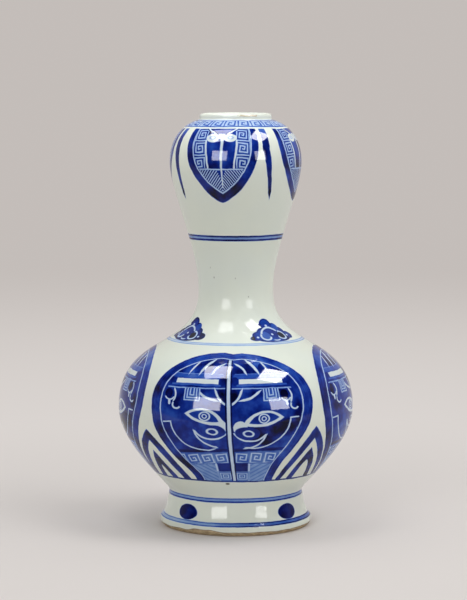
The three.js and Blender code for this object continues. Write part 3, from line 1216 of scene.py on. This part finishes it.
# the painted reflection that greys the cloud heads' cobalt
neckReflectionVeil = {"amount": cloudHead["reflectionVeil"], "below": riseAt(cloudHead["foot"]) + cloudHead["reflectionVeilTop"]}
pieces = [
    ("foot", ("foot_ring", "foot_lute"), [(footEnd, waistRise, turning["footStep"])], (),
     glazedFinish("foot glaze", footDecor, turning["footShine"])),
    ("lower_belly", ("lower_body", "belly_lute"),
     [(waistRise, bellyRise, wallStep), (insideBelly, floorEnd, insideStep)], under,
     glazedFinish("lower belly glaze", lowerBellyDecor, turning["lowerShine"], turning["bellySpecks"])),
    ("upper_belly", ("upper_body", "shoulder_lute"),
     [(bellyRise, shoulderRise, wallStep), (insideShoulder, insideBelly, insideStep)], (),
     glazedFinish("upper belly glaze", upperBellyDecor, turning["upperShine"])),
    ("neck_wall", ("neck", "mouth_lute"),
     [(shoulderRise, mouthRise, wallStep), (insideMouth, insideShoulder, insideStep)], (),
     glazedFinish("neck glaze", neckDecor, turning["neckShine"], turning["neckSpecks"], reflectionVeil=neckReflectionVeil)),
    ("garlic_bulb", ("garlic_mouth",), [(mouthRise, insideMouth, turning["bulbStep"])], (),
     glazedFinish("bulb glaze", bulbDecor, turning["bulbShine"], wornLip=lipWear)),
]
for name, nodes, spans, underside, finish in pieces:
    piece = turnedPiece(name, spans, finish, underside)
    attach(piece, "root")
    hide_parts(*nodes)
print(len(pieces), "glazed pieces turned")


# Studio: a pale paper floor that fades into the backdrop, four soft boxes and even fill
studio = {
    "paper": (0.67, 0.632, 0.607),
    "paperGlow": (0.71, 0.67, 0.645),  # the far floor glows, as evenly lit paper does; a little of the glow reaches in to the vase as painted light that lightens its shadow
    "paperDim": (0.16, 0.15, 0.145),  # painted shade: towards the camera the paper's colour darkens, standing for the dim room where the paper ends
    "dimStart": -0.32,
    "dimEnd": -0.6,
    "backdrop": (0.55, 0.51, 0.487),
    "fillFront": 0.32,  # the room behind the camera is dim
    "seenFront": 0.05,
    "fillBack": 0.88,
    "fillEdge": 0.35,
    "ceilingStart": 0.3,  # the backdrop ends below a dim ceiling
    "ceilingEnd": 0.75,
    "floorSize": 8,
    "fadeStart": -0.03,
    "fadeEnd": 0.5,
    "farStart": 0.1,  # where the glow starts to turn into the backdrop
    "farEnd": 2.3,
    "aim": (0, 0, 0.15),
    "reflectionShare": 0.95,
    "shineColour": (1.0, 0.99, 0.99),
    "steep": 45,  # a box above this elevation hangs overhead
    "boxes": [  # name, azimuth, elevation, distance, width, height, roll, watts, watts of its reflection
        ("left front box", -28.5, 15.2, 4.0, 1.85, 1.38, 0, 32, 117),
        ("right front box", 43.6, 14, 4.0, 1.35, 1.24, 0, 23, 72),
        ("overhead box left", -41, 68.2, 0.4, 0.145, 0.205, -14, 0.42, 1.42),
        ("overhead box right", 66, 59.4, 0.871, 0.285, 0.40, 1.5, 2.9, 9.8),
    ],
}

floorMesh = bpy.data.meshes.new("paper floor")
reach = studio["floorSize"] / 2
floorCorners = [(-reach, -reach, 0), (reach, -reach, 0), (reach, reach, 0), (-reach, reach, 0)]
floorMesh.from_pydata(floorCorners, [], [(0, 1, 2, 3)])
floor = bpy.data.objects.new("paper_floor", floorMesh)
scene.collection.objects.link(floor)
paperFinish = bpy.data.materials.new("floor paper")
paper = Shade(paperFinish)
floorPlace = paper.wire("ShaderNodeTexCoord", {}, {}, 3)  # object coordinates
distance = vectorMath("LENGTH", floorPlace, out=1)
# Painted shade: the paper's colour darkens towards the camera
dim = ramped(paper.parts("ShaderNodeSeparateXYZ", floorPlace)[1], studio["dimStart"], studio["dimEnd"])
# Painted light: the glow starts just beside the vase and so also lightens the vase's shadow on the floor
fade = ramped(distance, studio["fadeStart"], studio["fadeEnd"]) * (1 - dim)
farFade = ramped(distance, studio["farStart"], studio["farEnd"])
glow = tinted(farFade, studio["paperGlow"], studio["backdrop"])
paperColour = tinted(dim, studio["paper"], studio["paperDim"])
nearPaper = paper.wire("ShaderNodeBsdfDiffuse", {}, {"Color": paperColour})
farPaper = paper.wire("ShaderNodeEmission", {}, {"Color": glow})
paperBlend = paper.wire("ShaderNodeMixShader", {}, {0: fade, 1: nearPaper, 2: farPaper})
paper.node("ShaderNodeOutputMaterial", {}, {"Surface": paperBlend})
floorMesh.materials.append(paperFinish)


def grey(level):
    return level, level, level


# The camera and the glaze see the backdrop, and the room's fill light comes mostly from behind
room = bpy.data.worlds.new("studio room")
scene.world = room
air = Shade(room)
_, toBack, upward = air.parts("ShaderNodeSeparateXYZ", air.wire("ShaderNodeTexCoord", {}, {}, 0))
behind = ramped(toBack, -studio["fillEdge"], studio["fillEdge"])
backdropSeen = behind * ramped(upward, studio["ceilingEnd"], studio["ceilingStart"])
fill = tinted(behind, grey(studio["fillFront"]), grey(studio["fillBack"]))
view = tinted(backdropSeen, grey(studio["seenFront"]), studio["backdrop"])
path = air.node("ShaderNodeLightPath", {}, {})
seeing = ("Is Camera Ray", "Is Glossy Ray", "Is Transmission Ray")
seen = most(*[Wire(air, path.outputs[name]) for name in seeing])
around = air.wire("ShaderNodeBackground", {}, {0: tinted(seen, fill, view)})
air.node("ShaderNodeOutputWorld", {}, {0: around})


# A box's reflection is a lamp of its own, a little nearer, so that gloss can be set apart from light
def softBox(name, azimuth, elevation, distance, width, height, roll, watts, shine):
    middle = Vector(studio["aim"])
    a, e = azimuth * degree, elevation * degree
    away = Vector((math.sin(a) * math.cos(e), -math.cos(a) * math.cos(e), math.sin(e)))
    upward = Vector((0, 0, 1)) if elevation < studio["steep"] else Vector((0, 1, 0))
    across = upward.cross(away).normalized()
    facing = Matrix((across, away.cross(across), away)).transposed() @ Matrix.Rotation(roll * degree, 3, "Z")
    for part, energy, share in (("light", watts, 1), ("reflection", shine, studio["reflectionShare"])):
        lamp = bpy.data.lights.new(f"{name} {part}", "AREA")
        lamp.shape = "RECTANGLE"
        lamp.size = width * share
        lamp.size_y = height * share
        lamp.energy = energy * share ** 2
        if part == "reflection":
            lamp.color = studio["shineColour"]
        box = bpy.data.objects.new(lamp.name, lamp)
        box.location = middle + away * distance * share
        box.rotation_euler = facing.to_euler()
        box.visible_camera = False
        box.visible_diffuse = part == "light"
        box.visible_glossy = part == "reflection"
        scene.collection.objects.link(box)


for settings in studio["boxes"]:
    softBox(*settings)

cameraPlace = {"lens": 131.58, "sensor": 36, "location": (-0.0015, -1.48385, 0.29222), "tilt": 84.64}
lens = bpy.data.cameras.new("camera")
lens.lens = cameraPlace["lens"]
lens.sensor_width = cameraPlace["sensor"]
camera = bpy.data.objects.new("camera", lens)
camera.location = cameraPlace["location"]
camera.rotation_euler = (cameraPlace["tilt"] * degree, 0, 0)
scene.collection.objects.link(camera)
scene.camera = camera
print("studio set")

bpy.context.view_layer.update()
